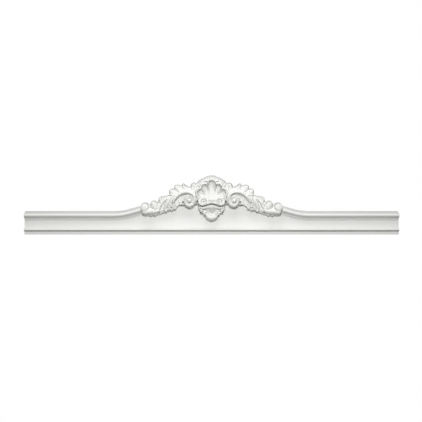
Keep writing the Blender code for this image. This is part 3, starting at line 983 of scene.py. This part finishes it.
def settle(obj: bpy.types.Object) -> None:
    """Applies an object's modifiers to its mesh.

    Args:
        obj: the object.
    """
    bpy.context.view_layer.update()
    graph = bpy.context.evaluated_depsgraph_get()
    mesh = bpy.data.meshes.new_from_object(obj.evaluated_get(graph))
    obj.modifiers.clear()
    obj.data = mesh


@dataclass
class Band:
    """The straight band: lip, frieze and cap, with the cap swept up at the carving.

    Depths are from the wall, heights up from the bottom edge and drops from the top edge.

    Attributes:
        length: its length.
        height: its height.
        grid: the carving's grid.
        cap_end: where the swept cap ends, in squares from the centre.
        board_top: (x, h) along the top of the board behind the carving.
        curve_steps: steps round the lip's curve and the cove.
        round_steps: steps round the bead and the sweep.
    """

    length: float
    height: float
    grid: CarvingGrid
    frieze_depth: float = 0.0235
    fillet_height: float = 0.0100
    fillet_depth: float = 0.027
    lip_underside_height: float = 0.0134
    lip_underside_depth: float = 0.0362
    lip_nose_height: float = 0.0156
    lip_depth: float = 0.0385
    lip_height: float = 0.0235
    lip_curve: float = 1.5
    top_edge_depth: float = 0.003
    quirk_drop: float = 0.0063
    quirk_depth: float = 0.029
    bead_drop: float = 0.0073
    bead_root_depth: float = 0.031
    bead_height: float = 0.0134
    bead_depth: float = 0.040
    cap_height: float = 0.0329
    cove_depth: float = 0.0218
    cove_curve: float = 1.2
    ledge_height: float = 0.0012
    sweep_radius: float = 0.210
    sweep_angle: float = math.radians(16)
    ramp_length: float = 0.051
    cap_end: float = 67.0
    board_top: tuple[Place, ...] = (
        (62.5, 4.0), (60.5, 3.4), (51.5, 6.6), (41.5, 11.4), (31.5, 17.0), (21.5, 20.0), (9.0, 24.0),
    )
    curve_steps: int = 14
    round_steps: int = 24

    def lip_profile(self) -> list[Place]:
        """The front of the bottom lip, from the bottom edge up.

        Returns:
            Its (height, depth) pairs.
        """
        points = [(0.0, self.fillet_depth), (self.fillet_height, self.fillet_depth)]
        points.append((self.lip_underside_height, self.lip_underside_depth))
        for share in np.linspace(0, 1, self.curve_steps):
            height = self.lip_nose_height + share * (self.lip_height - self.lip_nose_height)
            depth = self.frieze_depth + (1 - share) ** self.lip_curve * (self.lip_depth - self.frieze_depth)
            points.append((height, depth))
        return points

    def cap_profile(self) -> list[Place]:
        """The front of the cap, from the top edge down.

        Returns:
            Its (drop, depth) pairs.
        """
        points = [(0.0, self.top_edge_depth), (self.quirk_drop, self.quirk_depth)]
        root = self.bead_root_depth
        for turn in np.linspace(0, math.pi, self.round_steps):
            drop = self.bead_drop + self.bead_height * (1 - math.cos(turn)) / 2
            points.append((drop, root + (self.bead_depth - root) * math.sin(turn)))
        cove_top = self.bead_drop + self.bead_height
        for share in np.linspace(1 / self.curve_steps, 1, self.curve_steps):
            drop = cove_top + share * (self.cap_height - cove_top)
            depth = self.cove_depth + (1 - share) ** self.cove_curve * (root - self.cove_depth)
            points.append((drop, depth))
        points.append((self.cap_height + self.ledge_height, self.frieze_depth))
        return points

    def sweep_path(self) -> list[Spot]:
        """The cap's top edge on the right, from the centre outwards.

        Returns:
            Its (x, z, tilt) stations.
        """
        top = self.height / 2
        start = self.cap_end * self.grid.square
        bend_end = start + self.ramp_length
        bend_start = bend_end + self.sweep_radius * math.sin(self.sweep_angle)
        foot = top + self.sweep_radius * (1 - math.cos(self.sweep_angle))
        path = [(start, foot + self.ramp_length * math.tan(self.sweep_angle), self.sweep_angle)]
        for tilt in np.linspace(self.sweep_angle, 0, self.round_steps):
            x = bend_start - self.sweep_radius * math.sin(tilt)
            path.append((x, top + self.sweep_radius * (1 - math.cos(tilt)), tilt))
        path.append((self.length / 2, top, 0.0))
        return path

    def ring(self, x: float, top: float, upper: list[Spot]) -> Array:
        """Closes a loop round the band.

        Args:
            x: where the loop stands along the band.
            top: height of the band's back edge there.
            upper: (x, y, z) points of the loop above the lip.

        Returns:
            The loop's points.
        """
        bottom = -self.height / 2
        lip = [(x, -depth, bottom + height) for height, depth in self.lip_profile()]
        back = [(x, BEHIND_WALL, top), (x, BEHIND_WALL, bottom)]
        return np.array(lip + upper + back)

    def build(self) -> bpy.types.Object:
        """The band as one closed mesh, lofted from end to end.

        Returns:
            Its object.
        """
        path = self.sweep_path()
        cap = self.cap_profile()
        foot = path[0][1] - cap[-1][0] * math.cos(self.sweep_angle)
        right: list[Array] = []
        for x, h in reversed(self.board_top):
            place, top = x * self.grid.square, self.grid.foot + h * self.grid.square
            upper = [(place, -self.frieze_depth, z) for z in np.linspace(foot, top, len(cap))]
            right.append(self.ring(place, top, upper))
        for x, z, tilt in path:
            upper = [(x - d * math.sin(tilt), -y, z - d * math.cos(tilt)) for d, y in reversed(cap)]
            right.append(self.ring(x, z, upper))
        left = [loop * (-1, 1, 1) for loop in reversed(right)]
        loops = left + right
        count = len(loops[0])
        numbers = np.arange(len(loops) * count).reshape(len(loops), count)
        faces = [*walls(numbers[:-1], numbers[1:]), tuple(numbers[0].tolist()), tuple(numbers[-1].tolist())]
        LOG.info("Band: %d stations of %d points", len(loops), count)
        return new_object("band", np.vstack(loops), faces)


@dataclass(frozen=True)
class MottledFinish:
    """A finish whose tone drifts faintly from place to place.

    Attributes:
        name: its material's name.
        colour: its colour.
        shade: the tone that it drifts to.
        roughness: its roughness.
        mottle_mm: size of one drift.
        mottle_detail: how much finer drift it has.
    """

    name: str
    colour: str
    shade: str
    roughness: float
    mottle_mm: float
    mottle_detail: float = 2.0

    def material(self) -> bpy.types.Material:
        """The finish as a node material.

        Returns:
            The material.
        """
        material = bpy.data.materials.new(self.name)
        material.use_nodes = True
        tree = material.node_tree
        shader = tree.nodes["Principled BSDF"]
        shader.inputs["Roughness"].default_value = self.roughness
        where = add_node(tree, "ShaderNodeTexCoord", {}, {})
        mottle = add_node(
            tree, "ShaderNodeTexNoise", {"Scale": 1000 / self.mottle_mm, "Detail": self.mottle_detail},
            {"Vector": where.outputs["Object"]},
        )
        tone = add_node(
            tree, "ShaderNodeMix", {"A": linear(self.colour), "B": linear(self.shade)},
            {"Factor": mottle.outputs["Fac"]}, data_type="RGBA",
        )
        tree.links.new(tone.outputs["Result"], shader.inputs["Base Color"])
        return material


@dataclass(frozen=True)
class PrimedPolyurethane(MottledFinish):
    """Rigid polyurethane foam, moulded with a dense skin and primed white in the mould.

    The skin copies the mould, so the eye sees an even, soft satin white with no grain,
    only a faint orange-peel from the sprayed primer and a slightly warmer tone in it.

    Attributes:
        ior: refraction of the primer.
        peel_mm: size of one dimple of the orange-peel, drawn as coarse as it needs to show.
        peel_detail: how much finer peel it has.
        peel_height_mm: how deep the dimples are.
        peel_strength: how much of that shows.
    """

    name: str = "primed_polyurethane"
    colour: str = "#E3E3E1"
    shade: str = "#DFDFDC"
    roughness: float = 0.5
    mottle_mm: float = 60.0
    ior: float = 1.5
    peel_mm: float = 1.6
    peel_detail: float = 1.0
    peel_height_mm: float = 0.02
    peel_strength: float = 0.35

    def material(self) -> bpy.types.Material:
        """The mottled finish with its orange-peel.

        Returns:
            The material.
        """
        material = super().material()
        tree = material.node_tree
        shader = tree.nodes["Principled BSDF"]
        shader.inputs["IOR"].default_value = self.ior
        where = add_node(tree, "ShaderNodeTexCoord", {}, {})
        peel = add_node(
            tree, "ShaderNodeTexNoise", {"Scale": 1000 / self.peel_mm, "Detail": self.peel_detail},
            {"Vector": where.outputs["Object"]},
        )
        bump = add_node(
            tree, "ShaderNodeBump",
            {"Strength": self.peel_strength, "Distance": self.peel_height_mm / 1000},
            {"Height": peel.outputs["Fac"]},
        )
        tree.links.new(bump.outputs["Normal"], shader.inputs["Normal"])
        return material


@dataclass(frozen=True)
class StudioFloorPaint(MottledFinish):
    """Matt white floor paint on a smooth board: an even pale grey with no gloss."""

    name: str = "studio_floor_paint"
    colour: str = "#E6E6E4"
    shade: str = "#E0E0DE"
    roughness: float = 0.9
    mottle_mm: float = 400.0


def add_node(
    tree: bpy.types.NodeTree,
    kind: str,
    values: dict[str, object],
    links: dict[str | int, bpy.types.NodeSocket],
    **settings: object,
) -> bpy.types.Node:
    """Adds a node with its settings, socket values and incoming links.

    Args:
        tree: the node tree.
        kind: the node's type name.
        values: values for named input sockets.
        links: output sockets to join to input sockets, which are named or numbered.
        settings: values for the node's own properties.

    Returns:
        The node.
    """
    node = tree.nodes.new(kind)
    for name, value in settings.items():
        setattr(node, name, value)
    usable: dict[str | int, bpy.types.NodeSocket] = {s.name: s for s in node.inputs if s.enabled}
    usable.update(enumerate(node.inputs))
    for name, value in values.items():
        usable[name].default_value = value
    for name, source in links.items():
        tree.links.new(source, usable[name])
    return node


@dataclass
class Casting:
    """The whole door head: band and carving in one cast piece.

    Attributes:
        low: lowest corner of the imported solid.
        high: its highest corner.
        finish: what its skin is.
        carving_lift: how far the carving's grid starts above the band.
        sharp_angle: angle from which an edge between faces shows as an edge.
        wall_margin: size of the wall block, as a share of the casting's length.
        wall_depth: its depth.
    """

    low: Vector
    high: Vector
    finish: PrimedPolyurethane = PrimedPolyurethane()
    carving_lift: float = 0.0019
    sharp_angle: float = math.radians(40)
    wall_margin: float = 1.2
    wall_depth: float = 4 * BEHIND_WALL

    def build(self) -> bpy.types.Object:
        """The cast piece, cut flat at the back and dressed.

        Returns:
            Its object.
        """
        height = -2 * self.low[2]
        grid = CarvingGrid(height / 2 + self.carving_lift)
        head = Band(self.high[0] - self.low[0], height, grid).build()
        carving = Carving(grid).build()
        wall = self.wall_block()
        for other, operation in ((carving, "UNION"), (wall, "DIFFERENCE")):
            cut = head.modifiers.new(other.name, "BOOLEAN")
            cut.operation = operation
            cut.solver = "EXACT"
            cut.use_self = True
            cut.object = other
        settle(head)
        for used in (carving, wall):
            bpy.data.objects.remove(used)
        head.name = "door_head_casting"
        self.keep_inside(head)
        head.data.shade_smooth()
        head.data.set_sharp_from_angle(angle=self.sharp_angle)
        head.data.materials.clear()
        head.data.materials.append(self.finish.material())
        return head

    def wall_block(self) -> bpy.types.Object:
        """The wall behind the back, as a block to cut with."""
        reach = (self.high[0] - self.low[0]) * self.wall_margin
        middle = Vector((0, self.wall_depth / 2, 0))
        return block("wall_block", middle, Vector((reach, self.wall_depth, reach)))

    def keep_inside(self, head: bpy.types.Object) -> None:
        """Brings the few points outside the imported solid's box back onto it.

        Args:
            head: the cast piece.
        """
        count = len(head.data.vertices)
        flat = np.empty(count * 3)
        head.data.vertices.foreach_get("co", flat)
        points = np.clip(flat.reshape(count, 3), self.low, self.high)
        head.data.vertices.foreach_set("co", points.ravel())
        head.data.update()


@dataclass(frozen=True)
class SoftLight:
    """A soft square light that faces the casting.

    Attributes:
        name: its name.
        place: where it stands.
        size: its side.
        watts: its power.
    """

    name: str
    place: Spot
    size: float
    watts: float

    def build(self) -> None:
        """Adds the light, out of the camera's sight."""
        data = bpy.data.lights.new(self.name, "AREA")
        data.size = self.size
        data.energy = self.watts
        lamp = bpy.data.objects.new(self.name, data)
        bpy.context.scene.collection.objects.link(lamp)
        lamp.location = self.place
        lamp.rotation_euler = (-Vector(self.place)).to_track_quat("-Z", "Y").to_euler()
        lamp.visible_camera = False


@dataclass
class Studio:
    """Pale floor, soft lights and the camera.

    Attributes:
        top: height of the band's top edge.
        lights: the lights in front of the casting, over it, beside it and behind it.
        floor_below: how far the floor lies below the casting's origin.
        floor_behind: how far it runs on behind the wall plane.
        floor_size: its side.
        floor_thickness: its thickness.
        surround_light: strength of the even light from all round.
        white: colour of the surround.
    """

    top: float
    lights: tuple[SoftLight, ...] = (
        SoftLight("key", (0.0, -2.3, 0.8), 0.6, 48.0),
        SoftLight("overhead", (0.0, -0.6, 1.7), 1.2, 18.0),
        SoftLight("left_side", (-2.4, 0.7, -0.05), 0.4, 18.0),
        SoftLight("right_side", (2.4, 0.7, -0.05), 0.4, 18.0),
        SoftLight("back", (0.0, 2.4, -0.1), 0.4, 30.0),
    )
    floor_below: float = 2.2
    floor_behind: float = 0.4
    floor_size: float = 3.2
    floor_thickness: float = 0.02
    surround_light: float = 0.035
    white: str = "#FFFFFF"

    def build(self) -> None:
        """Adds the floor, the lights, the surround and the camera."""
        self.floor()
        self.camera()
        self.surround()
        for light in self.lights:
            light.build()
        bpy.context.scene.view_settings.view_transform = "Standard"

    def floor(self) -> None:
        """A thin painted board under the casting, too low for the camera to see."""
        size, thick = self.floor_size, self.floor_thickness
        middle = Vector((0, self.floor_behind - size / 2, -self.floor_below - thick / 2))
        board = block("studio_floor", middle, Vector((size, size, thick)))
        board.data.materials.append(StudioFloorPaint().material())

    def camera(self) -> None:
        """The camera, level with the top edge of the band and square to the wall."""
        data = bpy.data.cameras.new("camera")
        data.lens = LENS_MM
        data.sensor_width = SENSOR_MM
        camera = bpy.data.objects.new("camera", data)
        bpy.context.scene.collection.objects.link(camera)
        pixel = CAMERA_DISTANCE * SENSOR_MM / LENS_MM / FRAME_PIXELS
        aside = (FRAME_PIXELS / 2 - CENTRE_PIXEL) * pixel
        camera.location = (aside, -CAMERA_DISTANCE, self.top + EYE_ABOVE_BAND)
        camera.rotation_euler = (math.pi / 2, 0, 0)
        bpy.context.scene.camera = camera

    def surround(self) -> None:
        """Even light from all round, in front of which the casting stands on white."""
        world = bpy.data.worlds.new("surround")
        bpy.context.scene.world = world
        world.use_nodes = True
        tree = world.node_tree
        even = tree.nodes["Background"]
        even.inputs["Color"].default_value = linear(self.white)
        even.inputs["Strength"].default_value = self.surround_light
        white = add_node(tree, "ShaderNodeBackground", {"Color": linear(self.white), "Strength": 1.0}, {})
        path = add_node(tree, "ShaderNodeLightPath", {}, {})
        sources = {1: even.outputs["Background"], 2: white.outputs["Background"]}
        sources["Fac"] = path.outputs["Is Camera Ray"]
        mix = add_node(tree, "ShaderNodeMixShader", {}, sources)
        tree.links.new(mix.outputs["Shader"], tree.nodes["World Output"].inputs["Surface"])


def main() -> None:
    """Builds the casting and its studio."""
    logging.basicConfig(level=logging.INFO, format="%(name)s: %(message)s")
    low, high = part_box("door_head")
    casting = Casting(low, high).build()
    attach(casting, "root")
    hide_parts("door_head")
    LOG.info("%s: %d faces", casting.name, len(casting.data.polygons))
    Studio(top=-low[2]).build()


if __name__ == "__main__":
    main()
